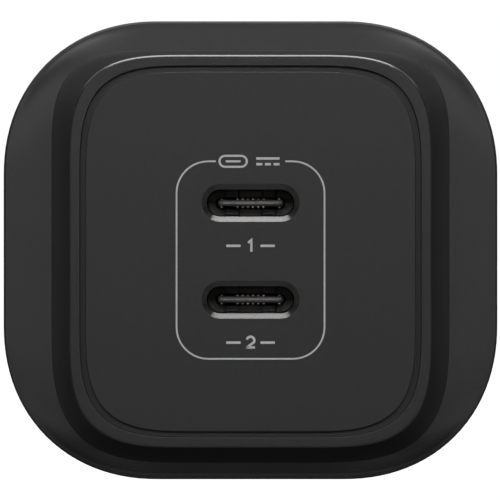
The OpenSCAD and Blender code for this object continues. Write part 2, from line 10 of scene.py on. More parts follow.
import bmesh
import bpy
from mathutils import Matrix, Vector


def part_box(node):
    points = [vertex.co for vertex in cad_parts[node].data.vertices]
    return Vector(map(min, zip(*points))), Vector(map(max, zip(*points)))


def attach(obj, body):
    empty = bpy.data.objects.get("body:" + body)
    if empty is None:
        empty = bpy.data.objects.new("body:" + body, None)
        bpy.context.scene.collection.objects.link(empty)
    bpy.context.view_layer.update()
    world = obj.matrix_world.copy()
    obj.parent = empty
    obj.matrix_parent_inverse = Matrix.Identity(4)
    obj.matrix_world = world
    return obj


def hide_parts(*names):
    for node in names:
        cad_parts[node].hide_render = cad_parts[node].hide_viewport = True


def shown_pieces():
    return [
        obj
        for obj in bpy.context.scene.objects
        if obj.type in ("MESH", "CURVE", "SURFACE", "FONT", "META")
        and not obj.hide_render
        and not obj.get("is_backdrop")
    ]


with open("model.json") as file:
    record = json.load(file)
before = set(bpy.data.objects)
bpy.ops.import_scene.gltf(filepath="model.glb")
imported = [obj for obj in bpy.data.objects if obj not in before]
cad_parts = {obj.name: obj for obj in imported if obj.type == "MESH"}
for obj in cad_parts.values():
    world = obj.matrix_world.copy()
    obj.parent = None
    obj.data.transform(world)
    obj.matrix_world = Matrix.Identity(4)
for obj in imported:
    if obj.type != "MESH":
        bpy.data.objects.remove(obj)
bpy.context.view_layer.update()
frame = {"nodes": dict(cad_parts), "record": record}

MM = 0.001
BODY = "root"
CORNER_STEPS = 26  # points along each soft corner
SIDE_STEPS = 6  # pieces of each straight side

# ---------------------------------------------------------------- sizes


def cad_box(node):
    """A CAD node's lowest and highest corner, in millimetres."""
    low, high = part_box(node)
    return low / MM, high / MM


FACE_Y = cad_box("housing_shell")[0].y
HOUSING_REAR_Y = cad_box("housing_shell")[1].y
PANEL_HIGH = cad_box("face_panel")[1]
COVER_HIGH = cad_box("rear_cover")[1]
BLOCK_DEPTH = 32.0
FLANGE_SLOPE = 1.2
WALL = 1.8
GROOVE_DEPTH = 0.5
GROOVE_W = 0.56
PANEL_T = PANEL_HIGH.y - FACE_Y
INK_T = 0.012  # the panel lies this far under the front plane, so that the ink is flush with it

# Sections of the housing, each (depth, half width, half height, upper corner reach, exponent, centre
# height, lower corner reach)
FRONT_EDGE = (0.0, 17.25, 18.66, 11.5, 3.36, -0.1, 11.5)
BLOCK_ROOT = (BLOCK_DEPTH, 19.98, 20.7, 10.6, 3.2, -0.63, 14.0)
FLANGE_EDGE = (BLOCK_DEPTH + FLANGE_SLOPE, 24.85, 23.05, 15.5, 2.14, 0.0, 15.5)
FLANGE_REAR = (HOUSING_REAR_Y - FACE_Y, 24.97, 23.17, 15.6, 2.14, 0.0, 15.6)
RECESS = (0.0, 15.65 + GROOVE_W, 17.08 + GROOVE_W, 10.95, 3.36, -0.13, 10.95)
PANEL_EDGE = (0.0, 15.65, 17.08, 10.6, 3.42, -0.13, 10.6)
COVER_SEAT = (0.0, 23.1, 21.3, 13.8, 2.14, 0.0, 13.8)

PORTS = {"port_1": 4.49, "port_2": -4.7}  # heights of the ports
PORT_W, PORT_H = 8.34, 2.56
PORT_CHAMFER, PORT_CHAMFER_DEPTH = 0.52, 0.42
SHELL_WALL = 0.3

# ---------------------------------------------------------------- outlines and lofts


def soft_outline(a, b, r, n, z, r_low):
    """A rectangle of half sizes a and b, with superelliptic corners, as (x, z) points."""
    corner = []
    for i in range(CORNER_STEPS + 1):
        t = math.radians(90 * i / CORNER_STEPS)
        reach = (math.cos(t) ** n + math.sin(t) ** n) ** (-1 / n)
        corner.append((1 - reach * math.cos(t), 1 - reach * math.sin(t)))
    points = []
    for sx, sz, forward in ((1, 1, True), (-1, 1, False), (-1, -1, True), (1, -1, False)):
        curve = corner if forward else corner[::-1]
        c = r if sz > 0 else r_low
        points.append([(sx * (a - c * x), z + sz * (b - c * y)) for x, y in curve])
    outline = []
    for k, curve in enumerate(points):
        outline += curve
        (x0, z0), (x1, z1) = curve[-1], points[(k + 1) % 4][0]
        for i in range(1, SIDE_STEPS):
            u = i / SIDE_STEPS
            outline.append((x0 + (x1 - x0) * u, z0 + (z1 - z0) * u))
    return outline


def inset(s, d):
    """The section s taken in by d all round."""
    return (s[0], s[1] - d, s[2] - d, s[3] - d, s[4], s[5], s[6] - d)


def at(s, depth):
    """The section s moved to this depth."""
    return (depth,) + tuple(s[1:])


def mixed(s, t, u):
    """The section that is the share u of the way from s to t."""
    return tuple(p * (1 - u) + q * u for p, q in zip(s, t))


def block_section(depth):
    """The block's outside at this depth behind the front face."""
    return mixed(FRONT_EDGE, BLOCK_ROOT, depth / BLOCK_DEPTH)


def ring(section):
    """The section's outline as points in metres."""
    return [Vector((x, FACE_Y + section[0], z)) * MM for x, z in soft_outline(*section[1:])]


def slot_ring(width, height, y, z=0.0, steps=12):
    """A round-ended slot's outline at this Y, as points in metres."""
    points = []
    for side in (1, -1):
        for i in range(steps + 1):
            t = math.radians(-90 + 180 * i / steps)
            x = side * ((width - height) / 2 + height / 2 * math.cos(t))
            points.append(Vector((x, y, z + side * height / 2 * math.sin(t))) * MM)
    return points


def box_ring(half_w, half_h, r, y, x=0.0, z=0.0, steps=4):
    """A rounded rectangle's outline at this Y, as points in metres."""
    points = []
    for k, (sx, sz) in enumerate(((1, 1), (-1, 1), (-1, -1), (1, -1))):
        for i in range(steps + 1):
            t = math.radians(90 * k + 90 * i / steps)
            cx, cz = x + sx * (half_w - r), z + sz * (half_h - r)
            points.append(Vector((cx + r * math.cos(t), y, cz + r * math.sin(t))) * MM)
    return points


def circle_ring(width, y, x, z):
    """A circle's outline of this width round (x, z), as points in metres."""
    return [p + Vector((x, 0, 0)) * MM for p in slot_ring(width, width, y, z)]


def arc_steps(count):
    """Pairs (1 - cos, 1 - sin) of angles from 0 to 90 degrees: the way round a rounded edge."""
    angles = [math.radians(90 * i / count) for i in range(count + 1)]
    return [(1 - math.cos(t), 1 - math.sin(t)) for t in angles]


def add_loft(bm, rings, loop=False, caps=True):
    """Adds the skin through the rings to bm; loop joins the last ring to the first."""
    rows = [[bm.verts.new(p) for p in points] for points in rings]
    pairs = list(zip(rows, rows[1:])) + ([(rows[-1], rows[0])] if loop else [])
    for lower, upper in pairs:
        for i in range(len(lower)):
            j = (i + 1) % len(lower)
            bm.faces.new((lower[i], lower[j], upper[j], upper[i]))
    if caps and not loop:
        bm.faces.new(rows[0])
        bm.faces.new(rows[-1])


def make_piece(name, bm, sharp_degrees=35.0):
    """Turns bm into an object whose faces are smooth except across sharp edges."""
    bmesh.ops.recalc_face_normals(bm, faces=bm.faces)
    for face in bm.faces:
        face.smooth = True
    for edge in bm.edges:
        edge.smooth = edge.calc_face_angle(0.0) < math.radians(sharp_degrees)
    mesh = bpy.data.meshes.new(name)
    bm.to_mesh(mesh)
    bm.free()
    piece = bpy.data.objects.new(name, mesh)
    bpy.context.scene.collection.objects.link(piece)
    return piece


def loft(name, rings, loop=False, sharp_degrees=35.0):
    """One closed piece through the rings."""
    bm = bmesh.new()
    add_loft(bm, rings, loop)
    return make_piece(name, bm, sharp_degrees)


def settle(piece):
    """Applies the piece's modifiers to its mesh."""
    depsgraph = bpy.context.evaluated_depsgraph_get()
    mesh = bpy.data.meshes.new_from_object(piece.evaluated_get(depsgraph))
    piece.modifiers.clear()
    piece.data = mesh


def reopened(piece):
    """The piece's mesh, ready to be changed; the piece itself goes."""
    bm, mesh = bmesh.new(), piece.data
    bm.from_mesh(mesh)
    bpy.data.objects.remove(piece)
    bpy.data.meshes.remove(mesh)
    return bm


def cut(piece, *cutters):
    """Takes the cutters out of the piece and removes them."""
    for cutter in cutters:
        modifier = piece.modifiers.new("cut", "BOOLEAN")
        modifier.operation = "DIFFERENCE"
        modifier.solver = "EXACT"
        modifier.object = cutter
        settle(piece)
        bpy.data.objects.remove(cutter)


def polish(piece, material, wanted):
    """Gives the material to the faces whose middle and normal, in millimetres, are wanted."""
    piece.data.materials.append(material)
    for face in piece.data.polygons:
        if wanted(face.center / MM, face.normal):
            face.material_index = len(piece.data.materials) - 1


def bevel(piece, width_mm, segments=2, angle=30.0):
    """Rounds the piece's sharp edges and keeps its flat faces flat."""
    modifier = piece.modifiers.new("edges", "BEVEL")
    modifier.width = width_mm * MM
    modifier.segments = segments
    modifier.limit_method = "ANGLE"
    modifier.angle_limit = math.radians(angle)
    modifier.harden_normals = True
    modifier.use_clamp_overlap = True


def even_normals(piece):
    """Weights normals by area, so that large flat faces stay flat next to small rounds."""
    modifier = piece.modifiers.new("normals", "WEIGHTED_NORMAL")
    modifier.mode = "FACE_AREA"
    modifier.weight = 100
    modifier.keep_sharp = True


# ---------------------------------------------------------------- materials


WAVE_SCALE = 0.314  # a wave texture of scale 1 has bands this far apart


class Shader:
    """A node material that is built up a step at a time."""

    def __init__(self, name):
        self.material = bpy.data.materials.new(name)
        self.material.use_nodes = True
        self.tree = self.material.node_tree
        self.bsdf = self.tree.nodes["Principled BSDF"]
        self.coords = self.tree.nodes.new("ShaderNodeTexCoord").outputs["Object"]

    def node(self, kind, **inputs):
        """A new node, with its inputs linked to a socket or set to a value."""
        made = self.tree.nodes.new(kind)
        for key, value in inputs.items():
            if isinstance(value, bpy.types.NodeSocket):
                self.tree.links.new(value, made.inputs[key])
            else:
                made.inputs[key].default_value = value
        return made

    def noise(self, size_mm, detail=2.0, stretch=None):
        """Soft noise with features of about size_mm; stretch makes them longer along an axis."""
        coords = self.coords
        if stretch:
            scale = [1 / s for s in stretch]
            coords = self.node("ShaderNodeMapping", Vector=coords, Scale=scale).outputs[0]
        scale = 1 / (size_mm * MM)
        made = self.node("ShaderNodeTexNoise", Vector=coords, Scale=scale, Detail=detail)
        return made.outputs["Fac"]

    def wave(self, axis, pitch_mm, distortion):
        """Even bands across an axis, pitch_mm apart and slightly wavy."""
        made = self.node("ShaderNodeTexWave", Vector=self.coords, Distortion=distortion)
        made.inputs["Scale"].default_value = WAVE_SCALE / (pitch_mm * MM)
        made.bands_direction = axis
        return made.outputs["Fac"]

    def ramp(self, fac, low, high, start=0.3, end=0.7):
        """A number or colour that goes from low to high as fac goes from start to end."""
        colour = not isinstance(low, (int, float))
        made = self.tree.nodes.new("ShaderNodeValToRGB")
        elements = made.color_ramp.elements
        elements[0].position, elements[1].position = start, end
        elements[0].color = (*low, 1) if colour else (low, low, low, 1)
        elements[1].color = (*high, 1) if colour else (high, high, high, 1)
        self.tree.links.new(fac, made.inputs[0])
        return made.outputs["Color"]

    def bump(self, height, depth_mm, normal=None):
        """A surface that rises by depth_mm with height, over another bumped surface if one is given."""
        made = self.node("ShaderNodeBump", Height=height, Distance=depth_mm * MM, Strength=1.0)
        if normal is not None:
            self.tree.links.new(normal, made.inputs["Normal"])
        return made.outputs["Normal"]

    def set(self, **values):
        """Sets the shader's own sockets; an underscore stands for a space."""
        for key, value in values.items():
            socket = self.bsdf.inputs[key.replace("_", " ")]
            if isinstance(value, bpy.types.NodeSocket):
                self.tree.links.new(value, socket)
            else:
                socket.default_value = value


def shades(colour, spread):
    """The colour made darker and lighter by the same share."""
    return [c * (1 - spread) for c in colour], [c * (1 + spread) for c in colour]


def moulded(name, colour, roughness, grain_mm=0.11, grain_depth=0.006, spread=0.09, specular=0.5):
    """Moulded plastic with a fine spark-eroded texture."""
    s = Shader(name)
    fine, broad = s.noise(grain_mm, 3.0), s.noise(6.0, 3.0)
    low, high = shades(colour, spread)
    s.set(
        Base_Color=s.ramp(s.noise(0.35, 4.0), low, high),
        Roughness=s.ramp(broad, roughness - 0.012, roughness + 0.012),
        Normal=s.bump(s.noise(2.5, 1.0), 0.0015, s.bump(fine, grain_depth)),
        Specular_IOR_Level=specular,
    )
    return s.material


def glossy(name, colour, roughness=0.3, wave_mm=1.5, depth=0.01, spread=0.08):
    """Smooth plastic, resin or lacquer with slight waves in it."""
    s = Shader(name)
    low, high = shades(colour, spread)
    s.set(
        Base_Color=s.ramp(s.noise(wave_mm * 2, 3.0), low, high),
        Roughness=s.ramp(s.noise(0.8, 3.0), roughness - 0.06, roughness + 0.06),
        Normal=s.bump(s.noise(wave_mm, 2.0), depth),
    )
    return s.material


def metal(name, colour, roughness=0.25, stretch=(1, 12, 1), grain_mm=0.08, depth=0.002, spread=0.06):
    """Metal with fine lines drawn along one axis."""
    s = Shader(name)
    low, high = shades(colour, spread)
    lines = s.noise(grain_mm, 3.0, stretch)
    s.set(
        Base_Color=s.ramp(s.noise(1.2, 4.0), low, high),
        Metallic=1.0,
        Roughness=s.ramp(lines, roughness - 0.06, roughness + 0.08),
        Normal=s.bump(lines, depth),
    )
    return s.material


def wound(name, colour, wire_mm):
    """Lacquered wire laid in neat turns, side by side along Z; its colour carries painted shade in the
    hollows between turns and a painted highlight on their crests.
    """
    s = Shader(name)
    turns = s.wave("Z", wire_mm, 0.4)
    low, high = shades(colour, 0.25)
    s.set(
        # painted shade and painted highlight: the colour follows the turns' bumps, darker in the hollows
        # and lighter on the crests
        Base_Color=s.ramp(turns, low, high, 0.1, 0.9),
        Metallic=0.9,
        Roughness=s.ramp(s.noise(0.5), 0.25, 0.4),
        Normal=s.bump(turns, wire_mm * 0.3),
        Coat_Weight=0.4,
    )
    return s.material


def laminate(name, colour):
    """Solder resist over glass cloth, whose weave shows faintly."""
    s = Shader(name)
    thread_mm = 0.5
    weave = s.node("ShaderNodeMath")
    weave.operation = "MULTIPLY"
    for i, axis in enumerate(("X", "Z")):
        s.tree.links.new(s.wave(axis, thread_mm, 0.5), weave.inputs[i])
    low, high = shades(colour, 0.2)
    s.set(
        Base_Color=s.ramp(s.noise(1.5, 4.0), low, high),
        Roughness=s.ramp(s.noise(0.6), 0.25, 0.4),
        Normal=s.bump(weave.outputs[0], 0.004),
        Coat_Weight=0.3,
    )
    return s.material


MATERIALS = {
    "housing_plastic": moulded("housing_plastic", (0.021, 0.021, 0.0215), 0.42, 0.14, 0.011),
    "panel_plastic": moulded("panel_plastic", (0.021, 0.021, 0.0215), 0.44),
    "cover_plastic": moulded("cover_plastic", (0.019, 0.019, 0.0195), 0.5, 0.16, 0.01),
    "sleeve_plastic": moulded("sleeve_plastic", (0.008, 0.008, 0.0085), 0.34, grain_depth=0.003),
    "earth_pin_plastic": moulded("earth_pin_plastic", (0.01, 0.01, 0.0105), 0.36, grain_depth=0.003),
    "tongue_plastic": moulded("tongue_plastic", (0.065, 0.065, 0.064), 0.4, 0.06, 0.002),
    "bobbin_resin": moulded("bobbin_resin", (0.03, 0.028, 0.024), 0.45),
    "chip_resin": moulded("chip_resin", (0.018, 0.018, 0.019), 0.55, grain_mm=0.08),
    "insulation_film": moulded("insulation_film", (0.02, 0.02, 0.022), 0.4, 0.5, 0.003),
    "bung_rubber": moulded("bung_rubber", (0.02, 0.02, 0.02), 0.7, grain_mm=0.2),
    "pad_silicone": moulded("pad_silicone", (0.3, 0.36, 0.42), 0.8, 0.3, 0.02),
    "ferrite": moulded("ferrite", (0.045, 0.045, 0.05), 0.55, 0.2, 0.01, spread=0.2),
    "choke_ferrite": glossy("choke_ferrite", (0.03, 0.12, 0.06), 0.35),
    "inductor_alloy": moulded("inductor_alloy", (0.07, 0.07, 0.075), 0.6, grain_mm=0.15, spread=0.25),
    "tape_yellow": glossy("tape_yellow", (0.75, 0.52, 0.05), 0.25, wave_mm=3.0, depth=0.03),
    "sleeve_film": glossy("sleeve_film", (0.02, 0.025, 0.045), 0.22, wave_mm=4.0, depth=0.02),
    "filter_resin": glossy("filter_resin", (0.72, 0.5, 0.05), 0.4),
    "disc_resin": glossy("disc_resin", (0.03, 0.12, 0.4), 0.3, wave_mm=1.0, depth=0.05),
    "fuse_resin": glossy("fuse_resin", (0.05, 0.02, 0.012), 0.35),
    "board_laminate": laminate("board_laminate", (0.02, 0.13, 0.06)),
    "winding_copper": wound("winding_copper", (0.6, 0.26, 0.1), 0.4),
    "pin_metal": metal("pin_metal", (0.7, 0.69, 0.66), 0.36, depth=0.0006),
    "port_steel": metal("port_steel", (0.17, 0.17, 0.17), 0.42),
    "contact_gold": metal("contact_gold", (0.86, 0.78, 0.6), 0.3),
    "ground_plate_steel": metal("ground_plate_steel", (0.5, 0.5, 0.52), 0.3),
    "lead_tin": metal("lead_tin", (0.62, 0.62, 0.62), 0.35),
    "header_tin": metal("header_tin", (0.68, 0.66, 0.6), 0.3),
    "can_aluminium": metal("can_aluminium", (0.72, 0.73, 0.74), 0.3),
    "spreader_copper": metal("spreader_copper", (0.66, 0.33, 0.2), 0.3, grain_mm=0.15),
}

# The polished strips on the housing's front edge and the port chamfers, and the paler block in a port
EDGE_PLASTIC = moulded("edge_plastic", (0.021, 0.021, 0.0215), 0.2, grain_depth=0.002, specular=1.0)
BLOCK_PLASTIC = moulded("block_plastic", (0.07, 0.068, 0.06), 0.4, 0.06, 0.002)


def ink_material():
    """Pad-printed ink, slightly uneven in cover."""
    s = Shader("legend_ink")
    s.set(
        Base_Color=s.ramp(s.noise(0.12, 3.0), (0.5, 0.5, 0.5), (0.62, 0.62, 0.62)),
        Roughness=s.ramp(s.noise(0.3), 0.45, 0.6),
        Normal=s.bump(s.noise(0.1, 2.0), 0.002),
    )
    return s.material


def finish_piece(piece, slot, *nodes):
    """Gives the piece its slot's material, ties it to the body and lets it stand for the nodes."""
    piece.data.materials.clear()
    piece.data.materials.append(MATERIALS[slot])
    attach(piece, BODY)
    if nodes:
        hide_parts(*nodes)


# ---------------------------------------------------------------- housing


def outside(point, section):
    """Whether a point in millimetres is outside the section's outline, seen from the front."""
    slack = 0.01
    a, b, r, n, z, r_low = section[1:]
    c = r if point.z > z else r_low
    x, y = max(0.0, abs(point.x) - a + c), max(0.0, abs(point.z - z) - b + c)
    return (x / c) ** n + (y / c) ** n > 1 + slack


def build_housing():
    """The block, its flange and the cavity, as one closed skin."""
    rim_r, lip_r = 0.4, 0.06
    # the front edge is a small chamfer with soft corners: pairs of (depth, inset)
    chamfer = ((0.0, 0.2), (0.004, 0.185), (0.015, 0.165), (0.145, 0.03), (0.17, 0.008), (0.2, 0.0))
    edge_depth = chamfer[-1][0]
    rear = FLANGE_REAR[0]
    inner_front, inner_root = PANEL_T + 1.0, BLOCK_DEPTH + WALL
    panel_ledge, cover_ledge, cover_depth, base_wall = 1.3, 0.8, 2.0, 0.5
    sections = []
    # the rim's inner lip, its flat and its outer edge
    for out, down in reversed(arc_steps(3)):
        sections.append(inset(at(RECESS, lip_r * out), -lip_r * down))
    sections += [inset(at(FRONT_EDGE, depth), taken_in) for depth, taken_in in chamfer]
    # the block's drafted wall
    for share in (0.15, 0.35, 0.55, 0.75, 0.9):
        sections.append(block_section(BLOCK_DEPTH * share))
    sections.append(BLOCK_ROOT)
    # the flange's front, which falls back towards its edge
    for share in (0.2, 0.4, 0.6, 0.8, 0.95):
        depth = BLOCK_DEPTH + FLANGE_SLOPE * share
        sections.append(at(inset(mixed(BLOCK_ROOT, FLANGE_EDGE, share), rim_r * share), depth))
    for out, down in arc_steps(7)[1:]:
        sections.append(inset(at(FLANGE_EDGE, FLANGE_EDGE[0] + rim_r * out), rim_r * down))
    # its side and its rear edge
    side_front, side_rear = at(FLANGE_EDGE, FLANGE_EDGE[0] + rim_r), at(FLANGE_REAR, rear - rim_r)
    sections += [mixed(side_front, side_rear, share) for share in (0.33, 0.66)]
    for out, down in arc_steps(7):
        sections.append(inset(at(FLANGE_REAR, rear - rim_r * down), rim_r * out))
    # the rear opening and the ledge under the cover
    ledge_depth, edge_draft = rear - cover_depth, 0.1
    sections.append(inset(at(COVER_SEAT, rear), -edge_draft))
    sections.append(at(COVER_SEAT, ledge_depth))
    sections.append(inset(at(COVER_SEAT, ledge_depth), cover_ledge))
    sections.append(inset(at(COVER_SEAT, inner_root + base_wall), cover_ledge))
    # the cavity, whose corners are all alike, and the ledge that the panel rests on
    cavity_root = inset(at(BLOCK_ROOT, inner_root), WALL)
    sections.append(cavity_root[:6] + (cavity_root[3],))
    sections.append(inset(at(block_section(inner_front), inner_front), WALL))
    sections.append(inset(at(RECESS, inner_front), panel_ledge))
    sections.append(inset(at(RECESS, PANEL_T), panel_ledge))
    sections.append(at(RECESS, PANEL_T))
    piece = loft("housing_moulding", [ring(s) for s in sections], loop=True)
    even_normals(piece)
    finish_piece(piece, "housing_plastic", "housing_shell")
    # the polished strip: the upper part of the front edge, outside the rim's inner lip
    lip, strip_rear = inset(RECESS, -0.15), FACE_Y + edge_depth
    polish(piece, EDGE_PLASTIC, lambda mid, n: mid.y < strip_rear and n.z > 0.2 and outside(mid, lip))


# ---------------------------------------------------------------- front panel


def port_cutter(z):
    """A chamfered oval mouth with a wider pocket behind it for the port's shell."""
    eps = 0.02
    grow = 2 * PORT_CHAMFER * (1 + eps / PORT_CHAMFER_DEPTH)
    pocket_y = cad_box("port_1_shell")[0].y
    pocket = 2 * (SHELL_WALL + 0.05)
    rings = [
        slot_ring(PORT_W + grow, PORT_H + grow, FACE_Y - eps + INK_T, z),
        slot_ring(PORT_W, PORT_H, FACE_Y + PORT_CHAMFER_DEPTH + INK_T, z),
        slot_ring(PORT_W, PORT_H, pocket_y, z),
        slot_ring(PORT_W + pocket, PORT_H + pocket, pocket_y, z),
        slot_ring(PORT_W + pocket, PORT_H + pocket, FACE_Y + PANEL_T + 1, z),
    ]
    return loft("cutter", rings)


def build_panel():
    """The panel: its raised field, the groove's floor round it, and the mouths of the ports."""
    edge_r, foot_r, seam = 0.1, 0.04, 0.02
    base = inset(RECESS, seam)
    sections = [
        inset(at(PANEL_EDGE, INK_T + edge_r * out), edge_r * down) for out, down in arc_steps(4)
    ]
    sections += [
        at(PANEL_EDGE, GROOVE_DEPTH - foot_r),
        inset(at(PANEL_EDGE, GROOVE_DEPTH), -foot_r),
        at(base, GROOVE_DEPTH),
        at(base, PANEL_T),
    ]
    piece = loft("front_panel", [ring(s) for s in sections])
    cut(piece, *[port_cutter(z) for z in PORTS.values()])
    piece = make_piece("front_panel", reopened(piece), 25.0)
    bevel(piece, 0.045, 2, 32.0)
    even_normals(piece)
    finish_piece(piece, "panel_plastic", "face_panel")
    # the lower part of each port's chamfer is polished
    polish(piece, EDGE_PLASTIC, lambda mid, n: -0.9 < n.y < -0.6 and n.z > 0.1 and abs(mid.x) < PORT_W)


# ---------------------------------------------------------------- printed legend


def add_stroke(bm, points, width, y0, y1):
    """Adds a flat line of this width through (x, z) points, from y0 to y1."""
    sides = []
    for i, (x, z) in enumerate(points):
        before, after = points[max(i - 1, 0)], points[min(i + 1, len(points) - 1)]
        d1 = Vector((x - before[0], z - before[1])).normalized() if i else None
        d2 = Vector((after[0] - x, after[1] - z)).normalized() if i < len(points) - 1 else None
        d = ((d1 or d2) + (d2 or d1)).normalized()
        miter = 1.0 if not (d1 and d2) else 1 / max(0.5, math.sqrt((1 + d1.dot(d2)) / 2))
        normal = Vector((-d.y, d.x)) * width / 2 * miter
        sides.append([(x + k * normal.x, z + k * normal.y) for k in (1, -1)])
    rings = []
    for a, b in sides:
        corners = ((a, y0), (b, y0), (b, y1), (a, y1))
        rings.append([Vector((x, y, z)) * MM for (x, z), y in corners])
    add_loft(bm, rings)


def arc(cx, cz, r, start, end, steps=10):
    """(x, z) points along an arc, in degrees."""
    angles = [math.radians(start + (end - start) * i / steps) for i in range(steps + 1)]
    return [(cx + r * math.cos(t), cz + r * math.sin(t)) for t in angles]


def build_legend():
    """A thin frame round the two ports, with plain signs and numbers printed in it."""
    bm = bmesh.new()
    y0, y1 = FACE_Y, FACE_Y + INK_T
    half_w, top, bottom, r, line = 7.02, 8.44, -10.3, 3.0, 0.155
    gap = 3.3

    def stroke(points, width=line):
        add_stroke(bm, points, width, y0, y1)

    frame_line = [(-gap, top), *arc(-half_w + r, top - r, r, 90, 180)]
    frame_line += arc(-half_w + r, bottom + r, r, 180, 270) + arc(half_w - r, bottom + r, r, 270, 360)
    frame_line += [*arc(half_w - r, top - r, r, 0, 90), (gap, top)]
    stroke(frame_line)
    # direct current: a bar over three dashes
    bold, sign_left, sign_right, rise = 0.23, 0.55, 2.75, 0.27
    dash, pitch = 0.56, 0.82
    stroke([(sign_left, top + rise), (sign_right, top + rise)], bold)
    for k in range(3):
        x = sign_left + pitch * k
        stroke([(x, top - rise), (x + dash, top - rise)], bold)
    # the outline of a socket with its tongue
    middle, straight, end_r, tongue, thin = -1.65, 0.78, 0.52, 0.7, bold * 0.85
    socket = arc(middle + straight, top, end_r, -90, 90, 8)
    socket += arc(middle - straight, top, end_r, 90, 270, 8)
    stroke(socket + [socket[0]], thin)
    stroke([(middle - tongue, top), (middle + tongue, top)], thin)
    # the ports' numbers, each between two short bars
    half_h, bow_r, bar = 0.56, 0.36, (0.95, 2.3)
    for number, z in ((1, 0.42), (2, -8.76)):
        high, low = z + half_h, z - half_h
        if number == 1:
            stroke([(-0.22, high - 0.28), (0.08, high), (0.08, low)], bold)
        else:
            bow = arc(0, high - bow_r, bow_r, 165, -30, 9)
            stroke([*bow, (-bow_r, low + 0.1)], bold)
            stroke([(-0.42, low + 0.1), (0.42, low + 0.1)], bold)
        for side in (-1, 1):
            stroke([(side * bar[0], z), (side * bar[1], z)], bold)
    piece = make_piece("panel_legend", bm, 30.0)
    piece.data.materials.append(ink_material())
    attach(piece, BODY)


# ---------------------------------------------------------------- ports


def boxed(half_w, half_h, y0, y1, x=0.0, z=0.0, r=0.03):
    """The two end rings of a small rounded block."""
    return [box_ring(half_w, half_h, r, y, x, z) for y in (y0, y1)]


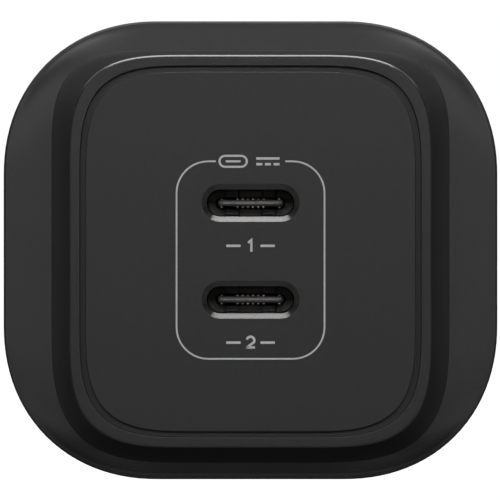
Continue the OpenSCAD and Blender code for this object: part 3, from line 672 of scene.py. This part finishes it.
def build_port(name, z):
    """One socket: shell with grip springs, insulator with its tongue, contacts and ground plate."""
    shell_y0, shell_rear = cad_box(name + "_shell")[0].y, cad_box(name + "_shell")[1].y
    tip_y, block_rear = cad_box(name + "_insulator")[0].y, cad_box(name + "_insulator")[1].y
    block_y = shell_y0 + 3.3  # front of the insulator's block
    lip = 0.07
    bm = bmesh.new()
    tube = (
        (0.0, lip),
        (lip / 2, lip * 0.3),
        (lip, 0.0),
        (SHELL_WALL - lip, 0.0),
        (SHELL_WALL, lip),
        (SHELL_WALL, block_rear - shell_y0),
        (0.0, block_rear - shell_y0),
    )
    rings = [slot_ring(PORT_W + 2 * out, PORT_H + 2 * out, shell_y0 + back, z) for out, back in tube]
    add_loft(bm, rings, loop=True)
    spring_w, spring_t, spring_x, spring_start, spring_length = 0.54, 0.045, 1.77, 1.0, 2.0
    dip, foot_h, foot_z, leg_t = 0.2, 0.26, 0.9, 0.15
    for side in (-1, 1):
        x = side * spring_x
        for flip in (-1, 1):
            # grip springs: strips that dip into the mouth, then run to a small foot on the block
            rows = []
            for i in range(13):
                u = i / 12
                low = PORT_H / 2 - 0.02 - dip * math.sin(math.pi * min(1.0, u * 1.3)) ** 2
                y = shell_y0 + spring_start + spring_length * u
                rows.append(box_ring(spring_w, spring_t, 0.03, y, x, z + flip * (low + spring_t)))
            add_loft(bm, rows)
            add_loft(bm, boxed(spring_w, foot_h, block_y - 0.06, block_y + 0.1, x, z + flip * foot_z))
    for side in (-1, 1):  # legs through the port board
        x = side * (PORT_W / 2 + leg_t)
        steps = ((block_rear - 0.3, 0.6), (block_rear + 0.8, 0.6), (shell_rear, 0.42))
        add_loft(bm, [box_ring(leg_t, half_h, 0.05, y, x, z) for y, half_h in steps])
    finish_piece(make_piece(name + "_drawn_shell", bm, 40.0), "port_steel", name + "_shell")

    # the block fills the shell round a deep pocket, and slots part the pads above and below it
    slack, pocket_w, pocket_h, pocket_depth, slot_half_w = 0.06, 6.6, 1.1, 2.2, 0.07
    rings = [
        slot_ring(PORT_W - slack, PORT_H - slack, block_rear, z),
        slot_ring(PORT_W - slack, PORT_H - slack, block_y + 0.1, z),
        slot_ring(PORT_W - 4 * slack, PORT_H - 4 * slack, block_y, z),
        slot_ring(pocket_w + 0.12, pocket_h + 0.1, block_y, z),
        slot_ring(pocket_w, pocket_h, block_y + 0.06, z),
        slot_ring(pocket_w, pocket_h, block_y + pocket_depth, z),
    ]
    block = loft(name + "_block", rings)
    slot_x = (-2.42, -1.12, 1.12, 2.42)
    slots = [boxed(slot_half_w, 1.5, block_y - 1, block_y + 0.9, x, z) for x in slot_x]
    cut(block, *[loft("cutter", ends) for ends in slots])
    block = make_piece(name + "_block", reopened(block), 30.0)
    finish_piece(block, "tongue_plastic", name + "_insulator")
    block.data.materials[0] = BLOCK_PLASTIC

    # the tongue, with a rounded tip that is thinner than the rest
    half_w, half_t, corner, tongue_rear = 3.13, 0.33, 0.2, block_y + 2.1
    tongue = [
        box_ring(2.9, 0.14, 0.1, tip_y, 0, z),
        box_ring(3.0, 0.21, 0.16, tip_y + 0.04, 0, z),
        box_ring(3.06, 0.26, corner, tip_y + 0.13, 0, z),
        box_ring(3.08, 0.28, corner, tip_y + 0.4, 0, z),
        box_ring(half_w, half_t, corner, tip_y + 0.55, 0, z),
        box_ring(half_w, half_t, corner, tongue_rear, 0, z),
    ]
    finish_piece(loft(name + "_tongue", tongue, sharp_degrees=35.0), "tongue_plastic")

    # the ground plate shows as a thin line along the tongue's tip and at its latch notches
    plate_w, plate_t, latch_w, latch_t, inner_rear = 2.6, 0.04, 0.16, 0.1, block_y + 2.0
    bm = bmesh.new()
    add_loft(bm, boxed(plate_w, plate_t, tip_y - 0.01, inner_rear, 0, z))
    for side in (-1, 1):
        add_loft(bm, boxed(latch_w, latch_t, tip_y + 1.2, tip_y + 2.0, side * (half_w - 0.14), z))
    finish_piece(make_piece(name + "_mid_plate", bm, 40.0), "ground_plate_steel", name + "_ground_plate")

    # contacts: strips with rounded noses, a little proud of the tongue
    nose = ((0.03, 0.02, 0.3), (0.08, 0.05, 0.33), (0.11, 0.075, 0.42), (0.12, 0.08, 0.6))
    stretch = [(w, h, tip_y + back) for w, h, back in nose] + [(0.12, 0.08, inner_rear)]
    bm = bmesh.new()
    for x in (-2.75, -1.25, -0.75, -0.25, 0.25, 0.75, 1.25, 2.75):
        for flip in (-1, 1):
            height = z + flip * (half_t + 0.05)
            add_loft(bm, [box_ring(w, h, h * 0.9, y, x, height) for w, h, y in stretch])
    finish_piece(make_piece(name + "_contact_strips", bm, 50.0), "contact_gold", name + "_contacts")


PIN_EDGE = 0.35  # rounding along a pin
EARTH_FOOT = 0.8  # the earth pin's foot, inside the cover, is this much wider all round and this deep


def pin_ring(half_w, half_t, y, x, z, r=PIN_EDGE):
    """A pin's outline at this Y, as points in metres."""
    return box_ring(half_w, half_t, r, y, x, z, 5)


def pin_tip(x, z, tip_y, half_w, half_t, length, narrowing, end):
    """The rings of a pin's tip, whose flats narrow over its length to a blunt, rounded end.

    narrowing: how much the width and the thickness lose along the flats, each (amount, power);
    end: how much smaller than the pin the end is, in the same two directions.
    """
    end_r, end_corner = 0.28, 0.3
    (less_w, power_w), (less_t, power_t) = narrowing
    rings = [pin_ring(half_w, half_t, tip_y - length, x, z)]
    for u in (0.12, 0.35, 0.6, 0.85):
        y = tip_y - length + (length - end_corner) * u
        rings.append(pin_ring(half_w - less_w * u**power_w, half_t - less_t * u**power_t, y, x, z))
    for out, down in arc_steps(4)[::-1][1:]:
        w, t = half_w - end[0] - end_r * out, half_t - end[1] - end_r * out
        rings.append(pin_ring(w, t, tip_y - end_r * down, x, z, end_corner))
    return rings


def build_pins():
    """Live and neutral pins with their sleeves, and the plastic earth pin."""
    for name in ("live_pin", "neutral_pin"):
        (low, high), (sleeve_low, sleeve_high) = cad_box(name), cad_box(name + "_sleeve")
        x, z = (low.x + high.x) / 2, (low.z + high.z) / 2
        w, t = (high.x - low.x) / 2, (high.z - low.z) / 2
        sleeve_t, tail_w, tail_t, neck_r = 0.35, 0.9, 0.5, 0.25
        core_w, core_t = w - sleeve_t, t - sleeve_t
        rings = [
            pin_ring(tail_w, tail_t, low.y, x, z, 0.2),
            pin_ring(tail_w, tail_t, sleeve_low.y, x, z, 0.2),
            pin_ring(core_w, core_t, sleeve_low.y, x, z, neck_r),
            pin_ring(core_w, core_t, sleeve_high.y, x, z, neck_r),
            pin_ring(w - 0.04, t - 0.04, sleeve_high.y + 0.01, x, z),
            pin_ring(w, t, sleeve_high.y + 0.06, x, z),
        ]
        rings += pin_tip(x, z, high.y, w, t, 2.3, ((0.75, 1.3), (1.0, 1.2)), (0.95, 1.05))
        finish_piece(loft(name + "_blade", rings, sharp_degrees=40.0), "pin_metal", name)

        bore_w, bore_t = core_w + 0.01, core_t + 0.01
        rings = [
            pin_ring(bore_w, bore_t, sleeve_low.y, x, z, neck_r),
            pin_ring(w, t, sleeve_low.y, x, z),
            pin_ring(w, t, sleeve_high.y - 0.06, x, z),
            pin_ring(w - 0.05, t - 0.05, sleeve_high.y, x, z),
            pin_ring(bore_w, bore_t, sleeve_high.y, x, z, neck_r),
        ]
        sleeve = loft(name + "_moulded_sleeve", rings, loop=True, sharp_degrees=40.0)
        finish_piece(sleeve, "sleeve_plastic", name + "_sleeve")

    low, high = cad_box("earth_pin")
    z = (low.z + high.z) / 2
    w, t = 3.97 / 2, 7.92 / 2
    rings = [pin_ring(w + EARTH_FOOT, t + EARTH_FOOT, y, 0, z, 0.3) for y in (low.y, low.y + EARTH_FOOT)]
    rings.append(pin_ring(w, t, low.y + EARTH_FOOT, 0, z))
    rings += pin_tip(0, z, high.y, w, t, 3.0, ((0.95, 1.2), (0.85, 1.3)), (1.0, 1.0))
    finish_piece(loft("earth_pin_moulding", rings, sharp_degrees=40.0), "earth_pin_plastic", "earth_pin")


# ---------------------------------------------------------------- rear cover


def build_cover():
    """The rear cover, with a softly rounded edge, a shallow field between the pins, and ribs inside."""
    edge_r, play, plate_t = 0.25, 0.1, 2.4
    rear = -FACE_Y  # the depth of the wall face
    seat = inset(COVER_SEAT, play)
    sections = [at(seat, rear - plate_t)]
    sections += [inset(at(seat, rear - edge_r * down), edge_r * out) for out, down in arc_steps(5)]
    piece = loft("rear_cover_moulding", [ring(s) for s in sections])
    cutters = []
    for name in ("live_pin_sleeve", "neutral_pin_sleeve", "earth_pin"):
        low, high = cad_box(name)
        if name == "earth_pin":
            foot = Vector((EARTH_FOOT, 0, EARTH_FOOT))
            low, high = low + foot, high - foot
        x, z = (low.x + high.x) / 2, (low.z + high.z) / 2
        w, t = (high.x - low.x) / 2 + 0.02, (high.z - low.z) / 2 + 0.02
        cutters.append(loft("cutter", [pin_ring(w, t, y, x, z) for y in (-4.0, 0.5)]))
    # a shallow field between the pins, and two round ejector marks
    field_w, field_h, field_z, mark_w, mark_x = 9.5, 5.0, -1.6, 2.6, 16.5
    field = [box_ring(field_w + y, field_h + y, 1.5, y, 0, field_z, 8) for y in (-0.15, 0.1)]
    cutters.append(loft("cutter", field))
    for x in (-mark_x, mark_x):
        cutters.append(loft("cutter", [circle_ring(mark_w, y, x, 2.0) for y in (-0.06, 0.1)]))
    cut(piece, *cutters)
    bm = reopened(piece)
    rib_w, rib_h, rib_x, rib_z, rib_depth = 0.6, 15.1, 6.0, -0.3, 1.4
    rib_ends = (COVER_HIGH.y - plate_t - rib_depth, COVER_HIGH.y - plate_t)
    for side in (-1, 1):  # stiffening ribs on the inside
        add_loft(bm, [box_ring(rib_w, rib_h, 0.3, y, side * rib_x, rib_z) for y in rib_ends])
    piece = make_piece("rear_cover_moulding", bm, 25.0)
    even_normals(piece)
    finish_piece(piece, "cover_plastic", "rear_cover")


# ---------------------------------------------------------------- the nodes that stay


def dress_nodes():
    """Every CAD node that still shows keeps its shape, gets soft edges and its slot's material."""
    slots = {s["node"]: s["material_slot"] for s in frame["record"]["subparts"]}
    for name, node in frame["nodes"].items():
        node.data.materials.clear()
        node.data.materials.append(MATERIALS[slots[name]])
        if not node.hide_render:
            bevel(node, 0.05, 1, 50.0)


# ---------------------------------------------------------------- stage, lights and camera

CAMERA_DISTANCE = 0.550
CAMERA_OFFSET = (-0.05, 0.025)  # how far the camera is aside of and above the middle, in millimetres
FRAME_WIDTH = 0.04744  # what the picture's width covers at the front face
SENSOR = 36.0
FLOOR_Z, FLOOR_RADIUS, FLOOR_GLOW = -0.0265, 12.0, 0.62
SUN_STRENGTH, SUN_ANGLE, SUN_TILT = 1.8, 30, -6
WORLD_LIGHT, WORLD_WHITE = 0.002, 1.02
AIM_Y = -0.03  # the lamps aim at the axis, this far in front of the wall face

# Soft panels round the charger: compass angle (0 in front, 90 at its right), height angle, distance,
# width, height and radiance
PANELS = {
    "overhead": (0, 84, 0.8, 0.85, 0.25, 6.8),
    "overhead_left": (-90, 47, 1.0, 0.22, 0.45, 3.0),
    "overhead_right": (90, 47, 1.0, 0.22, 0.45, 3.0),
    "high": (0, 22, 0.5, 0.36, 0.1, 5.5),
    "high_left": (-31, 25, 0.7, 0.22, 0.16, 2.6),
    "high_right": (31, 25, 0.7, 0.22, 0.16, 2.6),
    "left": (-42, 8, 1.0, 0.26, 0.5, 2.5),
    "right": (42, 8, 1.0, 0.26, 0.5, 2.5),
    "lower_left": (-52, -24, 1.0, 0.3, 0.25, 2.8),
    "lower_right": (52, -24, 1.0, 0.3, 0.25, 2.8),
    "below": (0, -68, 1.0, 0.8, 0.25, 1.2),
    "rear_high": (180, 60, 1.0, 0.8, 0.5, 0.8),
    "rear_left": (-132, 25, 1.0, 0.6, 0.5, 0.25),
    "rear_right": (132, 25, 1.0, 0.6, 0.5, 0.25),
    "rear_low_left": (-130, -28, 1.0, 0.6, 0.5, 0.12),
    "rear_low_right": (130, -28, 1.0, 0.6, 0.5, 0.12),
}
# More panels, which light only the plug side
REAR_PANELS = {
    "plug_top": (180, 50, 1.0, 1.2, 0.7, 2.2),
    "plug_left": (-140, 15, 1.0, 0.5, 0.9, 1.6),
    "plug_right": (140, 15, 1.0, 0.5, 0.9, 1.6),
    "plug_middle": (180, 10, 1.3, 0.8, 0.8, 0.8),
}


def build_stage():
    """A wide, round sheet of white paper just under the charger, out of its reflections."""
    bm = bmesh.new()
    bmesh.ops.create_circle(bm, cap_ends=True, radius=FLOOR_RADIUS, segments=96)
    bmesh.ops.translate(bm, verts=bm.verts, vec=(0, 0, FLOOR_Z))
    floor = make_piece("floor", bm)
    material = bpy.data.materials.new("floor_paper")
    material.use_nodes = True
    bsdf = material.node_tree.nodes["Principled BSDF"]
    bsdf.inputs["Base Color"].default_value = (0.8, 0.8, 0.8, 1)
    bsdf.inputs["Roughness"].default_value = 0.9
    bsdf.inputs["Specular IOR Level"].default_value = 0.0
    bsdf.inputs["Emission Color"].default_value = (1, 1, 1, 1)
    bsdf.inputs["Emission Strength"].default_value = FLOOR_GLOW
    floor.data.materials.append(material)
    floor.visible_diffuse = floor.visible_glossy = floor.visible_shadow = False
    floor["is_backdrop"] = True
    return floor


def aim(obj, target):
    """Turns a lamp to face the target."""
    obj.rotation_euler = (Vector(target) - obj.location).to_track_quat("-Z", "Y").to_euler()


def softbox(name, azimuth, elevation, distance, width, height, radiance, lit):
    """A soft panel that lights the objects in the collection lit."""
    data = bpy.data.lights.new(name, "AREA")
    data.shape = "RECTANGLE"
    data.size, data.size_y = width, height
    data.energy = radiance * math.pi * width * height  # in watts
    lamp = bpy.data.objects.new(name, data)
    middle = Vector((0, AIM_Y, 0))
    around, up = math.radians(azimuth), math.radians(elevation)
    way = Vector((math.sin(around) * math.cos(up), -math.cos(around) * math.cos(up), math.sin(up)))
    lamp.location = middle + way * distance
    aim(lamp, middle)
    lamp.visible_camera = False
    lamp.light_linking.receiver_collection = lit
    bpy.context.scene.collection.objects.link(lamp)


def build_lights(floor):
    """Soft panels for the charger, more for its plug side, and a sun for the paper alone."""
    charger = bpy.data.collections.new("charger")
    paper = bpy.data.collections.new("paper")
    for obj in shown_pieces():
        charger.objects.link(obj)
    paper.objects.link(floor)
    plug = bpy.data.collections.new("plug")
    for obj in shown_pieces():
        if obj.name.startswith(("rear_", "live_", "neutral_", "earth_")):
            plug.objects.link(obj)
    for panels, lit in ((PANELS, charger), (REAR_PANELS, plug)):
        for name, panel in panels.items():
            softbox(name, *panel, lit)
    data = bpy.data.lights.new("paper_sun", "SUN")
    data.energy, data.angle = SUN_STRENGTH, math.radians(SUN_ANGLE)
    sun = bpy.data.objects.new("paper_sun", data)
    sun.rotation_euler = (math.radians(SUN_TILT), 0, 0)
    sun.light_linking.receiver_collection = paper
    bpy.context.scene.collection.objects.link(sun)


def build_world():
    """White where the camera sees past the floor, and nearly dark round the charger."""
    world = bpy.data.worlds.new("studio")
    world.use_nodes = True
    tree = world.node_tree
    dark = tree.nodes["Background"]
    dark.inputs["Color"].default_value = (1, 1, 1, 1)
    dark.inputs["Strength"].default_value = WORLD_LIGHT
    white = tree.nodes.new("ShaderNodeBackground")
    white.inputs["Color"].default_value = (1, 1, 1, 1)
    white.inputs["Strength"].default_value = WORLD_WHITE
    path, mix = tree.nodes.new("ShaderNodeLightPath"), tree.nodes.new("ShaderNodeMixShader")
    tree.links.new(path.outputs["Is Camera Ray"], mix.inputs["Fac"])
    tree.links.new(dark.outputs[0], mix.inputs[1])
    tree.links.new(white.outputs[0], mix.inputs[2])
    tree.links.new(mix.outputs[0], tree.nodes["World Output"].inputs["Surface"])
    bpy.context.scene.world = world


def build_camera():
    """A long lens square on to the front face."""
    data = bpy.data.cameras.new("camera")
    data.sensor_width = SENSOR
    data.lens = SENSOR * CAMERA_DISTANCE / FRAME_WIDTH
    data.clip_start, data.clip_end = 0.05, 60.0
    camera = bpy.data.objects.new("camera", data)
    aside, up = CAMERA_OFFSET
    camera.location = (aside * MM, FACE_Y * MM - CAMERA_DISTANCE, up * MM)
    camera.rotation_euler = (math.radians(90), 0, 0)
    bpy.context.scene.collection.objects.link(camera)
    bpy.context.scene.camera = camera


build_housing()
build_panel()
build_legend()
for port, height in PORTS.items():
    build_port(port, height)
build_pins()
build_cover()
dress_nodes()
build_lights(build_stage())
build_world()
build_camera()
bpy.context.scene.view_settings.view_transform = "Standard"
